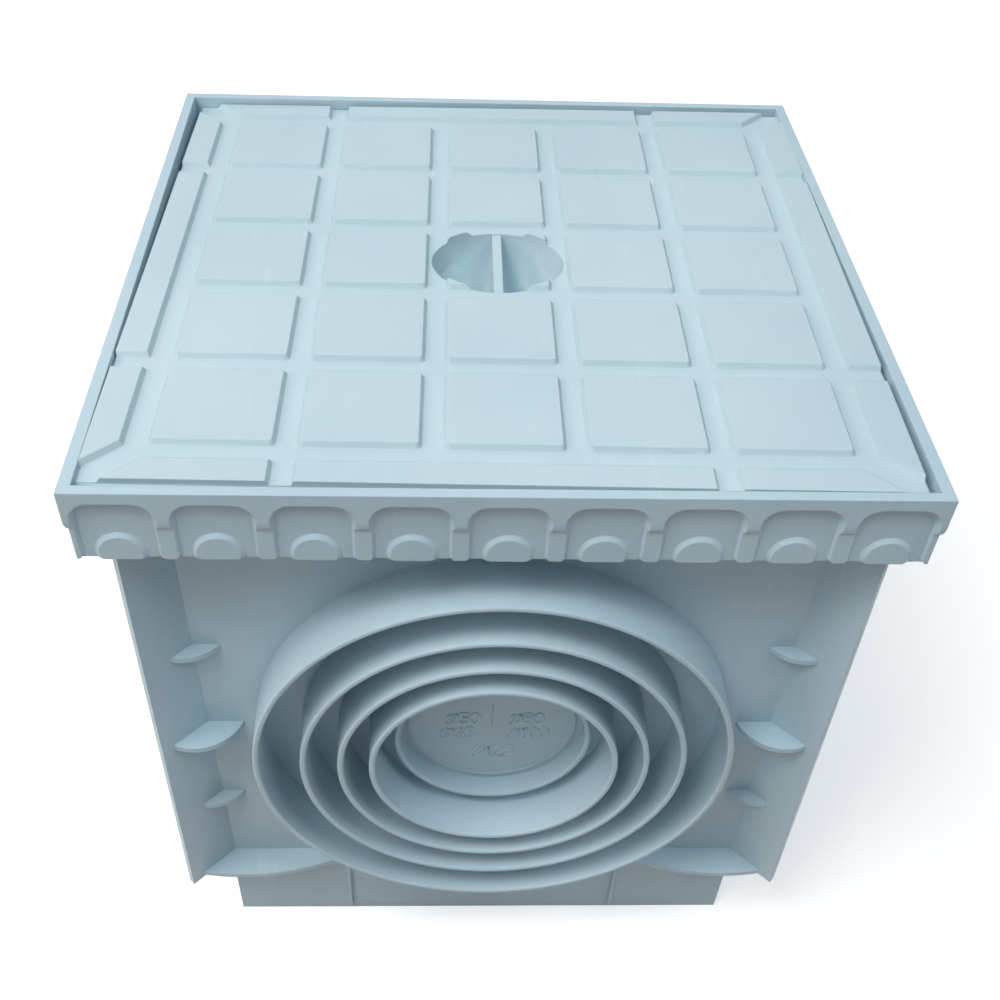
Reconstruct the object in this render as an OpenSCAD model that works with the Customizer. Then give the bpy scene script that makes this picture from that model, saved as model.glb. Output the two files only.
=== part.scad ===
// Square drain inspection chamber with stepped pipe sockets on its four
// sides, and the lid that rests in its rim.  Millimetres, +Z up, the origin
// is the middle of the foot's underside.

/* [Chamber] */
// Outside width of the square rim
rim_w = 192; // [190:1:196]
// Height from the underside of the foot to the top of the rim
total_h = 200; // [196:1:220]
// Outside width of the square box and its foot
box_w = 160; // [157:0.5:161]
// Thickness of the box walls, its floor and the lid's seat
wall_t = 2.2; // [1.8:0.1:2.6]
// Depth of the seat that the lid drops into
seat_d = 10; // [9:0.5:11]
// Width of the rim's top edge
rim_top = 2.8; // [2.5:0.1:3.2]

/* [Skirt] */
// Height of the rim's arched skirt
skirt_h = 19.7; // [17:0.1:22]
// Number of arches along each side
arches = 9; // [7:2:9]
// Width of one arch
arch_w = 17.5; // [15:0.1:18]
// Depth of solid rim above the arches
arch_top = 3.5; // [3:0.1:5]
// Radius of an arch's upper corners
arch_r = 4.5; // [2:0.5:6]
// Radius of the round-topped stud at the foot of each arch
stud_r = 5.9; // [4:0.1:6.5]

/* [Pipe sockets] */
// Play between a pipe and its socket, on the diameter
pipe_play = 1.2; // [0.8:0.1:1.6]
// Thickness of a socket's wall
socket_t = 1.6; // [1.4:0.1:2]
// Height of the sockets' axes above the underside of the foot
socket_z = 101; // [99:0.5:104]
// Reach of the smallest socket out of its panel
inner_reach = 6; // [4:0.5:8]

/* [Corner fins and gussets] */
// Thickness of the diagonal fins
fin_t = 2; // [1.6:0.1:2.4]
// Height of the fins' lower ends above the underside of the foot
fin_z = 34.6; // [30:0.5:38]
// Thickness of the gussets and the bottom shelf
web_t = 1.8; // [1.4:0.1:2.2]

/* [Lid] */
// Play of the square lid in its seat, on each side
lid_play = 1.5; // [1.5:0.1:3]
// Turn of the lid in its seat, in degrees
lid_turn = -0.75; // [-0.75:0.05:0.75]
// Shift of the lid towards the back of its seat
lid_shift = 0.3; // [0:0.05:0.3]
// Pads along each side of the grid
pads = 5; // [3:2:5]
// Width of one raised pad
pad_w = 27.6; // [25:0.1:28]
// Gap between the feet of two pads
pad_gap = 4.7; // [4:0.1:5]
// Height of the pads and border strips
pad_h = 1.3; // [1:0.1:1.6]
// Thickness of the lid's plate
lid_t = 2.4; // [2:0.1:3]
// Half length of the handle pocket's mouth, which is also its depth
pocket_a = 17.7; // [15:0.1:18]
// Half width of the pocket's mouth
pocket_b = 14.9; // [12:0.1:16]
// Facets round half of the pocket
pocket_facets = 7; // [5:2:9]
// Width of the handle bar across the pocket
bar_w = 2.5; // [2:0.1:3.5]

/* [Hidden] */
$fn = 96;

grey = [0.72, 0.79, 0.83];
pale = [0.77, 0.85, 0.89];

// chamber
rim_half = rim_w / 2;
box_half = box_w / 2;
inside = box_half - wall_t;
seat_half = rim_half - rim_top;
seat_z = total_h - seat_d;
skirt_z = total_h - skirt_h;
sink = 1;

// The skirt's face is stepped: arch panel, pillar and top band.  The band's
// lower edge is rounded back to the pillars: [below the top, in from the face]
panel_out = rim_half - 1.5;
pillar_in = 0.7;
band_foot = [[8.2, 0], [9, 0.06], [9.7, 0.2], [10.2, 0.42], [10.5, 0.7]];
arch_pitch = rim_w / arches;
arch_steps = 5;
reveal = 0.75;
pillar_chamfer = 0.8;
stud_rise = 1.55;
stud_proud = 0.9;
stud_bevel = 1;

// sockets, widest first; the last is the short one
pipes = [125, 100, 80, 63, 50];
socket_reach = rim_half - box_half;
lip_r = 0.4;
draft = 0.3;
membrane_r = 23.1;
membrane_line = 0.5;

// Fins run out on the diagonals and lean out a little towards the foot
fin_root = (box_half - 1.4) * sqrt(2);
fin_top = 89.2 * sqrt(2);
fin_foot = 90.8 * sqrt(2);

// gussets: [top face, reach along the panel, reach along the fin, bulge]
gussets = [[134.4, 7.2, 4.8, 1.9], [102.2, 9.8, 8.4, 4.6], [69, 6.6, 5, 1.9]];
valley = box_half - fin_t / sqrt(2);
shelf_z = 36.6;
shelf_r = 78;
shelf_mid = 75;
shelf_out = 89.3;
foot_rib_x = 43.5;
foot_rib_t = 1.3;
foot_rib_out = 1.2;
foot_rib_z = 3;

// lid
lid_half = seat_half - lid_play;
lid_aside = 0.15;
edge_in = 0.4;
edge_step = 0.4;
lid_top = total_h;
plate_top = lid_top - pad_h;
plate_z = plate_top - lid_t;
bevel = 0.7;
pad_r = 1.2;
pitch = pad_w + pad_gap;
grid_half = (pads * pad_w + (pads - 1) * pad_gap) / 2;
strip_in = grid_half + pad_gap + 0.35;
strip_out = lid_half - edge_in;
strip_split = pitch * (pads - 2) / 2;
mitre_gap = 6.5;
mitre = mitre_gap / sqrt(2);
hem_t = 2;
rib_t = 1.6;
rib_drop = 5;
pocket_t = 1.8;
pocket_rings = 16;
bar_drop = 0.3;

// ---------------------------------------------------------------- helpers

module on_four_sides() {
    for (a = [0 : 90 : 270]) rotate(a) children();
}

// Draws its children in a face's own frame: x along the face, y up, z out.
module on_face(out) {
    translate([0, -out, 0]) rotate([90, 0, 0]) children();
}

module both_ways() {
    children();
    mirror([1, 0, 0]) children();
}

// Corner i of a convex outline, rounded to radius r with steps + 1 points
function round_corner(p, i, r, steps) =
    let (n = len(p),
         a = p[(i + n - 1) % n] - p[i],
         b = p[(i + 1) % n] - p[i],
         ua = a / norm(a),
         ub = b / norm(b),
         half = acos(ua * ub) / 2,
         centre = p[i] + (ua + ub) / norm(ua + ub) * r / sin(half),
         first = p[i] + ua * r / tan(half) - centre,
         start = atan2(first[1], first[0]),
         sweep = 180 - 2 * half)
    [for (k = [0 : steps])
        let (t = start + sweep * k / steps)
        centre + r * [cos(t), sin(t)]];

function rounded(p, r, steps) = [for (i = [0 : len(p) - 1]) each round_corner(p, i, r, steps)];

// Outline p with every side moved in by d
function inset(p, d) =
    let (n = len(p))
    [for (i = [0 : n - 1])
        let (a = p[(i + n - 1) % n], c = p[i], b = p[(i + 1) % n],
             u = (c - a) / norm(c - a), v = (b - c) / norm(b - c),
             nu = [-u[1], u[0]], nv = [-v[1], v[0]])
        c + (nu + nv) * d / (1 + nu * nv)];

// Solid between z0 and z1 whose sides slope in by the given amount per mm
module tapered(p, z0, z1, slope) {
    n = len(p);
    low = [for (q = inset(p, slope * z0)) [q[0], q[1], z0]];
    high = [for (q = inset(p, slope * z1)) [q[0], q[1], z1]];
    polyhedron(concat(low, high),
        concat([[for (i = [0 : n - 1]) i]],
               [[for (i = [n - 1 : -1 : 0]) n + i]],
               [for (i = [0 : n - 1]) [i, n + i, n + (i + 1) % n, (i + 1) % n]]));
}

// A raised land with sloping sides, standing on z = 0 and sunk a little below
module land(p, h) {
    tapered(p, -0.5, h, bevel / h);
}

// ---------------------------------------------------------------- chamber

// Front view of the rim: pillars below, the proud band above
module rim_outline() {
    w = rim_half;
    p = rim_half - pillar_in;
    right = [for (q = band_foot) [w - q[1], total_h - q[0]]];
    polygon(concat([[w, total_h], [-w, total_h]],
        [for (i = [0 : len(right) - 1]) [-right[i][0], right[i][1]]],
        [[-p, skirt_z], [p, skirt_z]], [for (i = [len(right) - 1 : -1 : 0]) right[i]]));
}

// Outline of one arch at the level of the pillars' face, open at the foot
arch = let (p = [[-arch_w / 2, -5], [arch_w / 2, -5],
                 [arch_w / 2, skirt_h - arch_top], [-arch_w / 2, skirt_h - arch_top]])
    concat([p[0], p[1]], round_corner(p, 2, arch_r, arch_steps), round_corner(p, 3, arch_r, arch_steps));

// The recess of one arch: its sides slope out, and the pillars' feet are rounded
module arch_recess() {
    depth = 1.5 - pillar_in;
    w = arch_w / 2;
    c = pillar_chamfer;
    translate([0, skirt_z, panel_out + depth]) {
        tapered(arch, -depth, 2, -reveal);
        both_ways() translate([0, 0, -depth]) linear_extrude(3)
            polygon([[w - 1, -1], [w + c, -1], [w + c, 0], [w + 0.3 * c, 0.3 * c], [w, c], [w - 1, c]]);
    }
}

// Stud outline: a round top, straight foot and rounded lower corners.  Its
// foot runs a bevel's width below the skirt, where the stud is cut off.
stud_foot = -stud_bevel;
stud_corner = 2 * stud_bevel;
stud_side = sqrt(pow(stud_r - stud_corner, 2) - pow(stud_corner + stud_foot - stud_rise, 2));
stud_turn = atan2(stud_corner + stud_foot - stud_rise, stud_side);
stud_outline = concat(
    [for (k = [0 : 3])
        let (t = -90 + (stud_turn + 90) * k / 3)
        [stud_side, stud_foot + stud_corner] + stud_corner * [cos(t), sin(t)]],
    [for (k = [1 : 13])
        let (t = stud_turn + (180 - 2 * stud_turn) * k / 14)
        [0, stud_rise] + stud_r * [cos(t), sin(t)]],
    [for (k = [3 : -1 : 0])
        let (t = -90 + (stud_turn + 90) * k / 3)
        [-stud_side, stud_foot + stud_corner] + stud_corner * [-cos(t), sin(t)]]);

module stud() {
    intersection() {
        tapered(stud_outline, -0.5, stud_proud, stud_bevel / stud_proud);
        translate([-10, 0, -1]) cube([20, 20, 5]);
    }
}

// Runs its children at the middle of each arch of a side, in the side's frame
module each_arch() {
    on_face(0) for (i = [0 : arches - 1])
        translate([(i - (arches - 1) / 2) * arch_pitch, 0, 0]) children();
}

module rim() {
    difference() {
        intersection() {
            rotate([90, 0, 0]) translate([0, 0, -rim_half]) linear_extrude(rim_w) rim_outline();
            rotate([90, 0, 90]) translate([0, 0, -rim_half]) linear_extrude(rim_w) rim_outline();
        }
        on_four_sides() each_arch() arch_recess();
        translate([-seat_half, -seat_half, seat_z])
            cube([2 * seat_half, 2 * seat_half, seat_d + 1]);
        translate([-seat_half, -seat_half, skirt_z - 1])
            cube([2 * seat_half, 2 * seat_half, seat_z - wall_t - skirt_z + 1]);
    }
    on_four_sides() each_arch() translate([0, skirt_z, panel_out]) stud();
}

// One socket as a revolved wall: a straight bore, a rounded-off lip and a
// little draft outside
module socket(pipe, reach) {
    ri = (pipe + pipe_play) / 2;
    ro = ri + socket_t;
    rotate_extrude() polygon([
        [ri, -sink], [ro + draft, -sink], [ro, reach - lip_r], [ro - lip_r, reach],
        [ri + lip_r, reach], [ri, reach - lip_r]]);
}

module sockets_side() {
    translate([0, 0, socket_z]) on_face(box_half) {
        for (i = [0 : 3]) socket(pipes[i], socket_reach);
        socket(pipes[4], inner_reach);
        difference() {
            translate([0, 0, -0.5]) cylinder(h = 0.5 + membrane_line, r = membrane_r + membrane_line);
            translate([0, 0, -1]) cylinder(h = 3, r = membrane_r);
        }
    }
}

// Region in plan between a panel and the fin at its right-hand end
module corner_region() {
    polygon([[20, box_half - sink], [box_half - sink, box_half - sink], [110, 110], [20, 110]]);
}

// A plate whose front edge is one arc from the panel to the fin
module gusset(along, up_fin, bulge) {
    a = [valley - along, box_half];
    b = [valley, box_half] + up_fin * [1, 1];
    chord = norm(b - a);
    r = (chord * chord / 4 + bulge * bulge) / (2 * bulge);
    side = [-(b - a)[1], (b - a)[0]] / chord;
    intersection() {
        translate((a + b) / 2 + side * (bulge - r)) circle(r);
        corner_region();
    }
}

module shelf() {
    intersection() {
        translate([shelf_mid, shelf_out - shelf_r]) circle(shelf_r, $fn = 180);
        corner_region();
    }
}

module fin() {
    rotate([90, 0, 45]) translate([0, 0, -fin_t / 2]) linear_extrude(fin_t)
        polygon([[fin_root, fin_z], [fin_foot, fin_z],
                 [fin_top, seat_z - sink], [fin_root, seat_z - sink]]);
}

module braces_side() {
    rotate(180) both_ways() {
        for (g = gussets)
            translate([0, 0, g[0] - web_t]) linear_extrude(web_t) gusset(g[1], g[2], g[3]);
        translate([0, 0, shelf_z - web_t]) linear_extrude(web_t) shelf();
        translate([foot_rib_x - foot_rib_t / 2, box_half - sink, foot_rib_z])
            cube([foot_rib_t, foot_rib_out + sink, shelf_z - foot_rib_z - 0.5]);
    }
}

module chamber() color(grey) {
    difference() {
        union() {
            translate([-box_half, -box_half, 0]) cube([box_w, box_w, seat_z]);
            rim();
            on_four_sides() {
                sockets_side();
                braces_side();
                fin();
            }
        }
        translate([-inside, -inside, wall_t]) cube([2 * inside, 2 * inside, total_h]);
    }
}

// ---------------------------------------------------------------- lid

// Melon shape: a spindle about the Y axis with flat facets
module melon(a, b) {
    sides = 2 * pocket_facets;
    stations = [for (k = [1 : pocket_rings - 1]) 180 * k / pocket_rings];
    count = len(stations);
    ring = [for (s = stations, j = [0 : sides - 1])
        let (turn = 360 * (j + 0.5) / sides)
        [a * sin(s) * sin(turn), -b * cos(s), -a * sin(s) * cos(turn)]];
    last = count * sides;
    polyhedron(concat(ring, [[0, -b, 0], [0, b, 0]]),
        concat([for (k = [0 : count - 2], j = [0 : sides - 1])
                   [k * sides + j, k * sides + (j + 1) % sides,
                    (k + 1) * sides + (j + 1) % sides, (k + 1) * sides + j]],
               [for (j = [0 : sides - 1]) [last, (j + 1) % sides, j]],
               [for (j = [0 : sides - 1])
                   [last + 1, (count - 1) * sides + j, (count - 1) * sides + (j + 1) % sides]]));
}

// The pocket, straight-sided from the plate up through the pads
module pocket() {
    mouth = [for (k = [0 : 2 * pocket_rings - 1])
        let (s = 180 * k / pocket_rings)
        [pocket_a * sin(s), -pocket_b * cos(s)]];
    melon(pocket_a, pocket_b);
    linear_extrude(pad_h + 1) polygon(mouth);
}

function block(x0, y0, x1, y1) = [[x0, y0], [x1, y0], [x1, y1], [x0, y1]];

module pad_grid() {
    for (i = [0 : pads - 1], j = [0 : pads - 1])
        translate([(i - (pads - 1) / 2) * pitch, (j - (pads - 1) / 2) * pitch, 0])
            land(rounded(block(-pad_w / 2, -pad_w / 2, pad_w / 2, pad_w / 2), pad_r, 2), pad_h);
}

// Border strips of one side: a long one, and a mitred one at each end.  Their
// outer edges have no slope, because the lid's own edge cuts them off.
module border_side() {
    near = strip_split - pad_gap / 2;
    far = strip_split + pad_gap / 2;
    out = strip_out + 2 * bevel;
    land([[-near, strip_in], [near, strip_in], [near, out], [-near, out]], pad_h);
    end_piece = [[far, strip_in], [strip_in - mitre, strip_in], [out - mitre, out], [far, out]];
    both_ways() land(end_piece, pad_h);
}

module lid_underside() {
    difference() {
        union() {
            translate([-lid_half, -lid_half, seat_z])
                cube([2 * lid_half, 2 * lid_half, plate_top - edge_step - seat_z]);
            translate([-strip_out, -strip_out, seat_z])
                cube([2 * strip_out, 2 * strip_out, plate_top - seat_z]);
        }
        translate([-lid_half + hem_t, -lid_half + hem_t, seat_z - 1])
            cube([2 * (lid_half - hem_t), 2 * (lid_half - hem_t), plate_z - seat_z + 1]);
    }
    for (k = [-1.5 : 1 : 1.5], turn = [0, 90]) rotate(turn)
        translate([-lid_half + 1, k * pitch - rib_t / 2, plate_z - rib_drop])
            cube([2 * lid_half - 2, rib_t, rib_drop + 1]);
}

module lid() color(pale) {
    translate([lid_aside, lid_shift, 0]) rotate(lid_turn) {
        difference() {
            union() {
                lid_underside();
                translate([0, 0, plate_top]) {
                    pad_grid();
                    intersection() {
                        on_four_sides() border_side();
                        translate([-strip_out, -strip_out, -1]) cube([2 * strip_out, 2 * strip_out, 5]);
                    }
                }
                intersection() {
                    translate([0, 0, plate_top]) melon(pocket_a + pocket_t, pocket_b + pocket_t);
                    translate([-30, -30, plate_top - 30]) cube([60, 60, 29.5]);
                }
            }
            translate([0, 0, plate_top]) pocket();
        }
        intersection() {
            translate([-bar_w / 2, -pocket_b, plate_top - pocket_a])
                cube([bar_w, 2 * pocket_b, pocket_a - bar_drop]);
            translate([0, 0, plate_top]) melon(pocket_a + 0.5, pocket_b + 0.5);
        }
    }
}

chamber();
lid();
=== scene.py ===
import math

import bmesh
import bpy
from bpy.props import FloatProperty, FloatVectorProperty, PointerProperty
from bpy.types import Operator, Panel, PropertyGroup
from mathutils import Matrix, Vector


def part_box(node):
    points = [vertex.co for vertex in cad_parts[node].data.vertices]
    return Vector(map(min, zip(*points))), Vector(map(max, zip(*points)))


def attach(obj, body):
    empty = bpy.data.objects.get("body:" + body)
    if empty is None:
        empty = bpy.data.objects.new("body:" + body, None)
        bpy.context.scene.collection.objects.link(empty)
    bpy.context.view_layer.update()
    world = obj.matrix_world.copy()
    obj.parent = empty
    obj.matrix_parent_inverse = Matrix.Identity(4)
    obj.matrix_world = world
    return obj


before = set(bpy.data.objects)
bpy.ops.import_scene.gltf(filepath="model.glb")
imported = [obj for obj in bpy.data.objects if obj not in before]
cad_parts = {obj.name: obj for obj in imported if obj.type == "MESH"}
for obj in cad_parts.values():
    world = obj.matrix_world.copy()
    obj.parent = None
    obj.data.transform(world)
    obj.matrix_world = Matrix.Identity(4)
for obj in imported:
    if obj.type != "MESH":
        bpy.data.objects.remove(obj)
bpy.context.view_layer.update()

bl_info = {
    "name": "Drain Inspection Chamber",
    "version": (1, 0, 0),
    "blender": (4, 5, 0),
    "location": "3D View > Sidebar > Chamber",
    "description": "Finishes the moulded drain chamber and lid, and adds pipe sizes and stage",
    "category": "Object",
}

CHAMBER_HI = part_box("chamber")[1]
MM = 0.001

# Where the pipe sizes are moulded: the centre panel's distance from the axis and the
# height of the marks' own origin, which lies this many mm below the rim's top
PANEL_OUT = 80.0 * MM
MARK_HEIGHT = 101.0 * MM
MARK_DROP = 99.0

# Dihedral angles, in degrees, above which an edge stays crisp
CHAMBER_CREASE = 20.0
LID_CREASE = 16.0

# Streak direction of each moulding, as a stretch of the noise
CHAMBER_FLOW = (1.0, 1.0, 0.12)
LID_FLOW = (1.0, 0.12, 1.0)

# Soft boxes: name, azimuth from the front towards the left and elevation in degrees,
# share of the key light's power, size in metres, colour
LAMPS = (("Key", 48, 60, 0.55, 0.5, (1.0, 0.985, 0.96)),
         ("Front", 33, 41, 0.14, 0.6, (1.0, 0.985, 0.96)),
         ("Left", 82, 34, 0.38, 0.5, (1.0, 0.94, 0.90)),
         ("Right", -58, 54, 0.34, 0.6, (0.92, 0.98, 1.08)),
         ("Edge", 150, 28, 0.10, 0.6, (0.98, 1.0, 1.0)),
         ("Back", -175, 40, 0.18, 0.8, (0.84, 0.97, 1.06)))
LAMP_CENTRE = (0.0, 0.0, 0.12)
LAMP_DISTANCE = 1.4

# The camera's tilt down, turn and roll in radians, its place in metres and its lens in mm
CAMERA_PITCH, CAMERA_YAW, CAMERA_ROLL = 0.8028028727, 0.0525375672, 0.0435960635
CAMERA_PLACE = (-0.0167377, -0.2865048, 0.3701668)
CAMERA_LENS = 43.394
CAMERA_SHIFT = (0.02322, 0.08732)


# ------------------------------------------------------------------ settings

class PlasticSettings(PropertyGroup):
    chamber_colour: FloatVectorProperty(
        name="Chamber colour", description="Pigment of the chamber moulding",
        subtype="COLOR", size=3, min=0.0, max=1.0, default=(0.525, 0.68, 0.765))
    lid_colour: FloatVectorProperty(
        name="Lid colour", description="Pigment of the lid moulding",
        subtype="COLOR", size=3, min=0.0, max=1.0, default=(0.565, 0.715, 0.775))
    roughness: FloatProperty(
        name="Roughness", description="Surface roughness left by the mould",
        min=0.1, max=1.0, default=0.36)
    edge_round: FloatProperty(
        name="Edge radius", description="Radius that the mould leaves on every edge",
        subtype="DISTANCE", unit="LENGTH", min=0.0, max=0.002, default=0.4 * MM)
    grain: FloatProperty(
        name="Grain", description="Depth of the fine surface grain",
        min=0.0, max=1.0, default=0.18)
    scuffs: FloatProperty(
        name="Scuffs", description="How strongly the fine pale scratches show",
        min=0.0, max=1.0, default=0.5)


class LidSettings(PropertyGroup):
    sag: FloatProperty(
        name="Sag",
        description="How far the back left corner of the cooled lid has pulled down",
        subtype="DISTANCE", unit="LENGTH", min=0.0, max=0.004, default=2.0 * MM)
    creep: FloatProperty(
        name="Creep",
        description="How far the lid's front edge sits forward of its nominal line",
        subtype="DISTANCE", unit="LENGTH", min=0.0, max=0.0015, default=1.0 * MM)
    spread: FloatProperty(
        name="Spread",
        description="How far the lid's side edges sit outward of their nominal lines",
        subtype="DISTANCE", unit="LENGTH", min=0.0, max=0.0015, default=1.2 * MM)


class MarkSettings(PropertyGroup):
    height: FloatProperty(
        name="Digit height", description="Height of the moulded pipe sizes",
        subtype="DISTANCE", unit="LENGTH", min=0.002, max=0.008, default=4.7 * MM)
    stroke: FloatProperty(
        name="Stroke width", description="Width of a digit's raised stroke",
        subtype="DISTANCE", unit="LENGTH", min=0.0002, max=0.002, default=0.75 * MM)
    relief: FloatProperty(
        name="Relief", description="How far the digits stand proud of the panel",
        subtype="DISTANCE", unit="LENGTH", min=0.0001, max=0.001, default=0.42 * MM)


class StageSettings(PropertyGroup):
    floor_colour: FloatVectorProperty(
        name="Floor colour", description="Colour of the plain floor and backdrop",
        subtype="COLOR", size=3, min=0.0, max=1.0, default=(0.95, 0.95, 0.95))
    sky: FloatProperty(
        name="Sky", description="Strength of the soft light from all round",
        min=0.0, max=3.0, default=0.10)
    key_power: FloatProperty(
        name="Key light", description="Power of the large soft light above and to the left",
        subtype="POWER", unit="POWER", min=0.0, max=200.0, default=14.3)


# ----------------------------------------------------------------- materials

class Nodes:
    """Shorthand for building a node tree."""

    def __init__(self, tree):
        self.tree = tree

    def add(self, kind, **values):
        node = self.tree.nodes.new(kind)
        for key, value in values.items():
            setattr(node, key, value)
        return node

    def link(self, a, b):
        self.tree.links.new(a, b)

    def math(self, operation, a, b=None, c=None, clamp=False):
        node = self.add("ShaderNodeMath", operation=operation, use_clamp=clamp)
        for i, v in enumerate((a, b, c)):
            if v is None:
                continue
            if hasattr(v, "is_linked"):
                self.link(v, node.inputs[i])
            else:
                node.inputs[i].default_value = v
        return node.outputs[0]

    def noise(self, coord, scale, detail=3.0, rough=0.55, stretch=None):
        if stretch is not None:
            m = self.add("ShaderNodeMapping")
            m.inputs["Scale"].default_value = stretch
            self.link(coord, m.inputs["Vector"])
            coord = m.outputs["Vector"]
        n = self.add("ShaderNodeTexNoise")
        n.inputs["Scale"].default_value = scale
        n.inputs["Detail"].default_value = detail
        n.inputs["Roughness"].default_value = rough
        self.link(coord, n.inputs["Vector"])
        return n.outputs["Fac"]

    def ramp(self, value, lo, hi, out_lo=0.0, out_hi=1.0):
        r = self.add("ShaderNodeMapRange")
        r.inputs["From Min"].default_value = lo
        r.inputs["From Max"].default_value = hi
        r.inputs["To Min"].default_value = out_lo
        r.inputs["To Max"].default_value = out_hi
        self.link(value, r.inputs["Value"])
        return r.outputs["Result"]

    def mix(self, factor, a, b):
        m = self.add("ShaderNodeMix", data_type="RGBA")
        for socket, v in ((m.inputs[0], factor), (m.inputs[6], a), (m.inputs[7], b)):
            if hasattr(v, "is_linked"):
                self.link(v, socket)
            else:
                socket.default_value = v if isinstance(v, float) else (*v[:3], 1.0)
        return m.outputs[2]


def plastic_material(name, colour, s, streak):
    """Matt moulded polypropylene: pigment drift, flow streaks, scratches and painted shade in
    crevices.
    """
    mat = bpy.data.materials.new(name)
    mat.use_nodes = True
    n = Nodes(mat.node_tree)
    shader = mat.node_tree.nodes["Principled BSDF"]
    coord = n.add("ShaderNodeTexCoord").outputs["Object"]
    c = tuple(colour)
    # broad drift of the pigment, a little darker in patches
    drift = n.ramp(n.noise(coord, 14.0, 2.0, 0.5), 0.32, 0.68)
    base = n.mix(drift, (c[0] * 0.95, c[1] * 0.965, c[2] * 0.97),
                 (c[0] * 1.03, c[1] * 1.025, c[2] * 1.02))
    # streaks where the plastic flowed
    flow = n.ramp(n.noise(coord, 90.0, 3.0, 0.6, streak), 0.35, 0.7)
    base = n.mix(n.math("MULTIPLY", flow, 0.10), base,
                 (c[0] * 0.78, c[1] * 0.80, c[2] * 0.82))
    # thin pale scratches in three directions
    lines = []
    for turn, scale, cut in ((0.35, 160.0, 0.028), (-0.9, 210.0, 0.022), (1.45, 130.0, 0.02)):
        m = n.add("ShaderNodeMapping")
        m.inputs["Rotation"].default_value = (turn * 0.7, turn, turn)
        m.inputs["Scale"].default_value = (1.0, 0.035, 0.035)
        n.link(coord, m.inputs["Vector"])
        v = n.noise(m.outputs["Vector"], scale, 1.0, 0.4)
        edge = n.math("ABSOLUTE", n.math("SUBTRACT", v, 0.5))
        line = n.ramp(edge, 0.0, cut * 0.35, 1.0, 0.0)
        patch = n.ramp(n.noise(coord, 42.0 + 9.0 * turn, 1.0, 0.5), 0.56, 0.66)
        lines.append(n.math("MULTIPLY", line, patch, clamp=True))
    scratch = n.math("MAXIMUM", n.math("MAXIMUM", lines[0], lines[1]), lines[2])
    scratch = n.math("MULTIPLY", scratch, s.scuffs)
    base = n.mix(n.math("MULTIPLY", scratch, 0.35), base, (0.78, 0.86, 0.9))
    # painted shade: the colour darkens towards a darker copy of the pigment where ambient occlusion
    # finds corners and grooves, broken into specks
    ao = n.add("ShaderNodeAmbientOcclusion", samples=3)
    ao.inputs["Distance"].default_value = 0.012
    shade = n.ramp(ao.outputs["AO"], 0.15, 0.75, 1.0, 0.0)
    speck = n.ramp(n.noise(coord, 300.0, 2.0, 0.6), 0.35, 0.65, 0.4, 1.0)
    base = n.mix(n.math("MULTIPLY", n.math("MULTIPLY", shade, speck), 0.10), base,
                 (c[0] * 0.62, c[1] * 0.66, c[2] * 0.68))
    n.link(base, shader.inputs["Base Color"])
    # sheen varies with the grain and the rubbed patches
    rough = n.ramp(n.noise(coord, 60.0, 3.0, 0.6), 0.3, 0.7,
                   s.roughness - 0.05, s.roughness + 0.08)
    rough = n.math("SUBTRACT", rough, n.math("MULTIPLY", scratch, 0.12), clamp=True)
    n.link(rough, shader.inputs["Roughness"])
    shader.inputs["IOR"].default_value = 1.48
    shader.inputs["Specular IOR Level"].default_value = 0.42
    shader.inputs["Subsurface Weight"].default_value = 0.04
    shader.inputs["Subsurface Radius"].default_value = (0.004, 0.004, 0.004)
    shader.inputs["Subsurface Scale"].default_value = 0.5
    # fine grain, slow waviness and the scratches, over softly rounded edges
    grain = n.noise(coord, 2200.0, 2.0, 0.6)
    wavy = n.noise(coord, 55.0, 2.0, 0.5)
    height = n.math("ADD", n.math("MULTIPLY", grain, 0.012), n.math("MULTIPLY", wavy, 0.25))
    height = n.math("SUBTRACT", height, n.math("MULTIPLY", scratch, 0.03))
    rounded = n.add("ShaderNodeBevel", samples=4)
    rounded.inputs["Radius"].default_value = s.edge_round
    bump = n.add("ShaderNodeBump")
    n.link(rounded.outputs["Normal"], bump.inputs["Normal"])
    bump.inputs["Strength"].default_value = s.grain
    bump.inputs["Distance"].default_value = 0.001
    n.link(height, bump.inputs["Height"])
    n.link(bump.outputs["Normal"], shader.inputs["Normal"])
    return mat


def dress(obj, material):
    for slot in obj.material_slots:
        slot.material = material
    if not obj.material_slots:
        obj.data.materials.append(material)


def geometry_group(name):
    """An empty geometry node group with its two ends."""
    tree = bpy.data.node_groups.new(name, "GeometryNodeTree")
    tree.interface.new_socket("Geometry", in_out="INPUT", socket_type="NodeSocketGeometry")
    tree.interface.new_socket("Geometry", in_out="OUTPUT", socket_type="NodeSocketGeometry")
    nodes = Nodes(tree)
    return nodes, nodes.add("NodeGroupInput").outputs[0], nodes.add("NodeGroupOutput").inputs[0]


def smooth_group(angle):
    """Shades small steps smooth and keeps the sharper creases."""
    n, start, end = geometry_group("Smooth faces")
    turn = n.add("GeometryNodeInputMeshEdgeAngle")
    crease = n.add("FunctionNodeCompare", data_type="FLOAT", operation="GREATER_THAN")
    n.link(turn.outputs["Unsigned Angle"], crease.inputs["A"])
    crease.inputs["B"].default_value = math.radians(angle)
    normals = n.add("GeometryNodeSetMeshNormal", mode="SHARPNESS")
    normals.inputs["Remove Custom"].default_value = True
    n.link(start, normals.inputs["Mesh"])
    n.link(crease.outputs[0], normals.inputs["Edge Sharpness"])
    n.link(normals.outputs[0], end)
    return n.tree


def smooth_faces(obj, angle):
    """Joins a CAD node's faces and shades its curved walls smooth, with modifiers."""
    weld = obj.modifiers.new("Weld", "WELD")
    weld.merge_threshold = 2e-6
    smooth = obj.modifiers.new("Smooth faces", "NODES")
    smooth.node_group = smooth_group(angle)


# -------------------------------------------------------------- moulded marks

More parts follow.
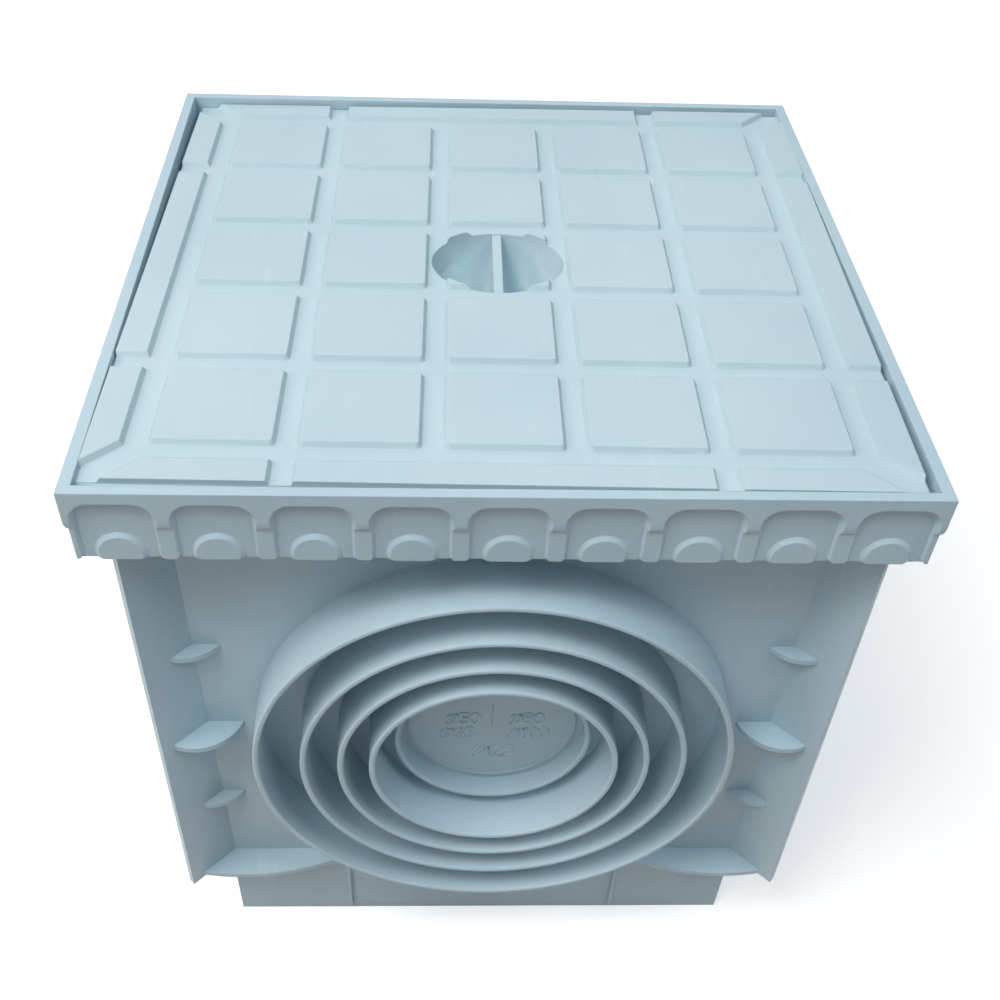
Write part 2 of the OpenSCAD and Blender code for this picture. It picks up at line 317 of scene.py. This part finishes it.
def arc(cx, cy, rx, ry, start, end, steps=14):
    return [(cx + rx * math.cos(math.radians(start + (end - start) * k / steps)),
             cy + ry * math.sin(math.radians(start + (end - start) * k / steps)))
            for k in range(steps + 1)]


# Width and strokes of each character in a cell 1 high; "O" is the diameter sign
GLYPHS = {
    "0": (0.62, [arc(0.3, 0.5, 0.27, 0.47, 90, 450, 22)]),
    "1": (0.50, [[(0.1, 0.78), (0.28, 0.96), (0.28, 0.03)]]),
    "2": (0.62, [arc(0.3, 0.71, 0.25, 0.26, 170, -30, 12) + [(0.05, 0.04), (0.56, 0.04)]]),
    "3": (0.62, [arc(0.27, 0.73, 0.24, 0.23, 150, -85, 12),
                 arc(0.27, 0.27, 0.27, 0.24, 85, -150, 12)]),
    "5": (0.62, [[(0.52, 0.96), (0.12, 0.96), (0.08, 0.52)]
                 + arc(0.27, 0.30, 0.28, 0.27, 112, -150, 14)]),
    "6": (0.62, [arc(0.3, 0.29, 0.26, 0.26, 0, 360, 18), arc(0.6, 0.33, 0.56, 0.63, 178, 108, 9)]),
    "8": (0.62, [arc(0.3, 0.74, 0.21, 0.22, 0, 360, 16), arc(0.3, 0.28, 0.26, 0.25, 0, 360, 18)]),
    "O": (0.78, [arc(0.36, 0.44, 0.3, 0.36, 0, 360, 20), [(0.04, 0.02), (0.68, 0.88)]]),
}

# Each line on a socket's centre panel: characters, middle x and height from the rim's top, in mm
SIZE_LINES = (("O50", -8.3, -96.3), ("O63", -9.6, -102.7), ("O80", 9.6, -96.3),
              ("O100", 10.2, -102.8), ("O125", 0.7, -111.4))


def stroke_tube(bm, points, width, relief, sides=8):
    """A half-round ridge along a line drawn on the XY plane, sunk a little below it."""
    closed = (Vector(points[0]) - Vector(points[-1])).length < 1e-7
    pts = [Vector((p[0], p[1])) for p in (points[:-1] if closed else points)]
    n = len(pts)
    rings = []
    for i, p in enumerate(pts):
        before = pts[i - 1] if (i or closed) else p
        after = pts[(i + 1) % n] if (i < n - 1 or closed) else p
        d = (after - before).normalized()
        turn = 1.0
        if before is not p and after is not p:
            a, b = (p - before).normalized(), (after - p).normalized()
            turn = 1.0 / max(0.6, math.sqrt(max(0.05, (1 + a.dot(b)) / 2)))
        side = Vector((-d.y, d.x))
        ring = []
        for k in range(sides + 1):
            t = math.pi * k / sides
            off = side * (width / 2 * math.cos(t) * turn)
            height = relief * math.sin(t) ** 0.8 - 0.02 * MM
            ring.append(bm.verts.new((p.x + off.x, p.y + off.y, height)))
        rings.append(ring)
    count = n if closed else n - 1
    for i in range(count):
        a, b = rings[i], rings[(i + 1) % n]
        for k in range(sides):
            bm.faces.new((a[k], a[k + 1], b[k + 1], b[k]))
    if not closed:
        for ring, flip in ((rings[0], False), (rings[-1], True)):
            centre = sum((v.co for v in ring), Vector()) / len(ring)
            cap = bm.verts.new((centre.x, centre.y, relief * 0.5))
            for k in range(sides):
                f = (ring[k + 1], ring[k], cap) if not flip else (ring[k], ring[k + 1], cap)
                bm.faces.new(f)


def mark_mesh(name, settings):
    """The five pipe sizes and the witness line of one panel, facing +Z at the panel's middle."""
    bm = bmesh.new()
    h = settings.height
    for text, mid_x, mid_z in SIZE_LINES:
        total = sum(GLYPHS[ch][0] for ch in text) * h - 0.1 * h
        x = mid_x * MM - total / 2
        y = (mid_z + MARK_DROP) * MM - h / 2
        for ch in text:
            width, strokes = GLYPHS[ch]
            for line in strokes:
                points = [(x + px * h, y + py * h) for px, py in line]
                stroke_tube(bm, points, settings.stroke, settings.relief)
            x += width * h
    # the faint witness line above the marks
    stroke_tube(bm, [(0.0, 8.6 * MM), (0.0, 4.0 * MM), (0.0, -0.6 * MM)], 0.45 * MM, 0.16 * MM)
    mesh = bpy.data.meshes.new(name)
    bmesh.ops.recalc_face_normals(bm, faces=bm.faces)
    bm.to_mesh(mesh)
    bm.free()
    for p in mesh.polygons:
        p.use_smooth = True
    return mesh


# ------------------------------------------------------------------ operators

class FinishChamber(Operator):
    """Gives the chamber its plastic and shades its moulded walls"""
    bl_idname = "chamber.finish_chamber"
    bl_label = "Finish Chamber"

    def execute(self, context):
        s = context.scene.chamber_plastic
        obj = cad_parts["chamber"]
        dress(obj, plastic_material("chamber plastic", s.chamber_colour, s, CHAMBER_FLOW))
        smooth_faces(obj, CHAMBER_CREASE)
        return {"FINISHED"}


def lid_warp_group(sag, creep, spread):
    """Pulls the lid's back left corner down and its front and side edges out."""
    n, start, end = geometry_group("Lid warp")
    place = n.add("GeometryNodeInputPosition")
    split = n.add("ShaderNodeSeparateXYZ")
    n.link(place.outputs[0], split.inputs[0])
    half = CHAMBER_HI[0]
    left = n.math("MULTIPLY_ADD", split.outputs[0], -0.5 / half, 0.5, clamp=True)
    back = n.math("MULTIPLY_ADD", split.outputs[1], 0.5 / half, 0.5, clamp=True)
    down = n.math("MULTIPLY", n.math("MULTIPLY", left, n.math("POWER", back, 1.5)), -sag)
    side = n.math("MULTIPLY", split.outputs[0], 1.0 / half)
    steep = n.math("POWER", n.math("ABSOLUTE", side), 3.0)
    side = n.math("MULTIPLY", n.math("MULTIPLY", side, steep), spread)
    offset = n.add("ShaderNodeCombineXYZ")
    n.link(side, offset.inputs[0])
    front = n.math("MULTIPLY_ADD", split.outputs[1], -1.0 / half, 0.0, clamp=True)
    n.link(n.math("MULTIPLY", front, -creep), offset.inputs[1])
    n.link(down, offset.inputs[2])
    move = n.add("GeometryNodeSetPosition")
    n.link(start, move.inputs["Geometry"])
    n.link(offset.outputs[0], move.inputs["Offset"])
    n.link(move.outputs[0], end)
    return n.tree


class FinishLid(Operator):
    """Gives the lid its plastic and adds the slight warp it cooled with"""
    bl_idname = "chamber.finish_lid"
    bl_label = "Finish Lid"

    def execute(self, context):
        s = context.scene.chamber_plastic
        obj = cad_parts["lid"]
        dress(obj, plastic_material("lid plastic", s.lid_colour, s, LID_FLOW))
        smooth_faces(obj, LID_CREASE)
        warp = obj.modifiers.new("Cooling warp", "NODES")
        lid = context.scene.chamber_lid
        warp.node_group = lid_warp_group(lid.sag, lid.creep, lid.spread)
        return {"FINISHED"}


class AddSizeMarks(Operator):
    """Moulds the five pipe sizes on the centre panel of each side"""
    bl_idname = "chamber.size_marks"
    bl_label = "Pipe Size Marks"

    def execute(self, context):
        mesh = mark_mesh("pipe_sizes", context.scene.chamber_marks)
        s = context.scene.chamber_plastic
        # painted light: the size marks get a copy of the chamber plastic 1.12 times lighter,
        # standing in for the light their raised strokes catch
        painted_light = [min(1.0, 1.12 * c) for c in s.chamber_colour]
        mesh.materials.append(plastic_material("rubbed marks", painted_light, s, CHAMBER_FLOW))
        for side, turn in (("front", 0), ("right", 90), ("back", 180), ("left", 270)):
            obj = bpy.data.objects.new("pipe_sizes_" + side, mesh)
            context.scene.collection.objects.link(obj)
            spin = Matrix.Rotation(math.radians(turn), 4, "Z")
            stand = Matrix.Rotation(math.radians(90), 4, "X")
            obj.matrix_world = spin @ Matrix.Translation((0, -PANEL_OUT, MARK_HEIGHT)) @ stand
            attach(obj, "root")
        return {"FINISHED"}


class BuildStage(Operator):
    """Adds the floor, the soft lights and the camera"""
    bl_idname = "chamber.stage"
    bl_label = "Stage"

    def execute(self, context):
        scene = context.scene
        s = scene.chamber_stage
        scene.view_settings.view_transform = "Standard"
        self.floor(context, s)
        self.sky(scene, s)
        self.lamps(context, s)
        self.camera(context)
        return {"FINISHED"}

    def floor(self, context, s):
        mesh = bpy.data.meshes.new("floor")
        r = 6.0
        mesh.from_pydata([(-r, -r, 0), (r, -r, 0), (r, r, 0), (-r, r, 0)], [], [(0, 1, 2, 3)])
        obj = bpy.data.objects.new("floor", mesh)
        context.scene.collection.objects.link(obj)
        mat = bpy.data.materials.new("floor")
        mat.use_nodes = True
        n = Nodes(mat.node_tree)
        mat.node_tree.nodes.remove(mat.node_tree.nodes["Principled BSDF"])
        out = mat.node_tree.nodes["Material Output"]
        path = n.add("ShaderNodeLightPath")
        seen = n.math("MAXIMUM", path.outputs["Is Glossy Ray"], path.outputs["Is Transmission Ray"])
        seen = n.math("MAXIMUM", path.outputs["Is Camera Ray"], seen)
        dim = n.add("ShaderNodeBsdfDiffuse")
        dim.inputs["Color"].default_value = (0.43, 0.39, 0.36, 1.0)
        pale = n.add("ShaderNodeBsdfDiffuse")
        pale.inputs["Color"].default_value = (*s.floor_colour, 1.0)
        lift = n.add("ShaderNodeEmission")
        lift.inputs["Color"].default_value = (1.0, 1.0, 1.0, 1.0)
        # the backdrop turns plain white away from the shadow
        away = n.add("ShaderNodeVectorMath", operation="LENGTH")
        n.link(n.add("ShaderNodeTexCoord").outputs["Object"], away.inputs[0])
        n.link(n.ramp(away.outputs["Value"], 0.45, 1.5, 0.42, 1.0), lift.inputs["Strength"])
        both = n.add("ShaderNodeAddShader")
        n.link(pale.outputs[0], both.inputs[0])
        n.link(lift.outputs[0], both.inputs[1])
        pick = n.add("ShaderNodeMixShader")
        n.link(seen, pick.inputs[0])
        n.link(dim.outputs[0], pick.inputs[1])
        n.link(both.outputs[0], pick.inputs[2])
        n.link(pick.outputs[0], out.inputs["Surface"])
        mesh.materials.append(mat)

    def sky(self, scene, s):
        world = bpy.data.worlds.new("Studio")
        scene.world = world
        world.use_nodes = True
        n = Nodes(world.node_tree)
        back = world.node_tree.nodes["Background"]
        back.inputs["Color"].default_value = (0.88, 0.96, 1.0, 1.0)
        back.inputs["Strength"].default_value = s.sky
        out = world.node_tree.nodes["World Output"]
        white = n.add("ShaderNodeBackground")
        white.inputs["Color"].default_value = (1.0, 1.0, 1.0, 1.0)
        path = n.add("ShaderNodeLightPath")
        pick = n.add("ShaderNodeMixShader")
        n.link(path.outputs["Is Camera Ray"], pick.inputs[0])
        n.link(back.outputs[0], pick.inputs[1])
        n.link(white.outputs[0], pick.inputs[2])
        n.link(pick.outputs[0], out.inputs["Surface"])

    def lamps(self, context, s):
        """Hangs the soft boxes round the chamber, all facing its middle."""
        for name, azimuth, elevation, share, size, colour in LAMPS:
            lamp = bpy.data.lights.new(name, "AREA")
            lamp.energy = s.key_power * share
            lamp.size = size
            lamp.color = colour
            obj = bpy.data.objects.new(name, lamp)
            context.scene.collection.objects.link(obj)
            a, e = math.radians(azimuth), math.radians(elevation)
            away = Vector((-math.sin(a) * math.cos(e), -math.cos(a) * math.cos(e), math.sin(e)))
            obj.location = Vector(LAMP_CENTRE) + LAMP_DISTANCE * away
            obj.rotation_euler = away.to_track_quat("Z", "Y").to_euler()

    def camera(self, context):
        pitch, yaw, roll = CAMERA_PITCH, CAMERA_YAW, CAMERA_ROLL
        ahead = Vector((math.sin(yaw) * math.cos(pitch), math.cos(yaw) * math.cos(pitch),
                        -math.sin(pitch)))
        right = Vector((math.cos(yaw), -math.sin(yaw), 0.0))
        up = right.cross(ahead)
        x = math.cos(roll) * right + math.sin(roll) * up
        y = -math.sin(roll) * right + math.cos(roll) * up
        m = Matrix.Identity(4)
        for i in range(3):
            m[i][0], m[i][1], m[i][2] = x[i], y[i], -ahead[i]
        m.translation = CAMERA_PLACE
        data = bpy.data.cameras.new("Camera")
        data.sensor_width = 36.0
        data.lens = CAMERA_LENS
        data.shift_x, data.shift_y = CAMERA_SHIFT
        data.clip_start = 0.01
        obj = bpy.data.objects.new("Camera", data)
        context.scene.collection.objects.link(obj)
        obj.matrix_world = m
        context.scene.camera = obj


class ChamberPanel(Panel):
    """Lists the steps that finish the chamber"""
    bl_idname = "VIEW3D_PT_drain_chamber"
    bl_label = "Drain Chamber"
    bl_space_type = "VIEW_3D"
    bl_region_type = "UI"
    bl_category = "Chamber"

    def draw(self, context):
        layout = self.layout
        scene = context.scene
        for name, _ in GROUPS:
            group = getattr(scene, name)
            box = layout.box()
            for key in group.bl_rna.properties.keys():
                if key not in ("rna_type", "name"):
                    box.prop(group, key)
        for op in STEPS:
            layout.operator(op.bl_idname)


GROUPS = (("chamber_plastic", PlasticSettings), ("chamber_lid", LidSettings),
          ("chamber_marks", MarkSettings), ("chamber_stage", StageSettings))
STEPS = (FinishChamber, FinishLid, AddSizeMarks, BuildStage)


def register():
    for name, group in GROUPS:
        bpy.utils.register_class(group)
        setattr(bpy.types.Scene, name, PointerProperty(type=group))
    for cls in STEPS + (ChamberPanel,):
        bpy.utils.register_class(cls)


def unregister():
    for cls in reversed(STEPS + (ChamberPanel,)):
        bpy.utils.unregister_class(cls)
    for name, group in reversed(GROUPS):
        delattr(bpy.types.Scene, name)
        bpy.utils.unregister_class(group)


def main():
    register()
    bpy.ops.chamber.finish_chamber()
    bpy.ops.chamber.finish_lid()
    bpy.ops.chamber.size_marks()
    bpy.ops.chamber.stage()


if __name__ == "__main__":
    main()
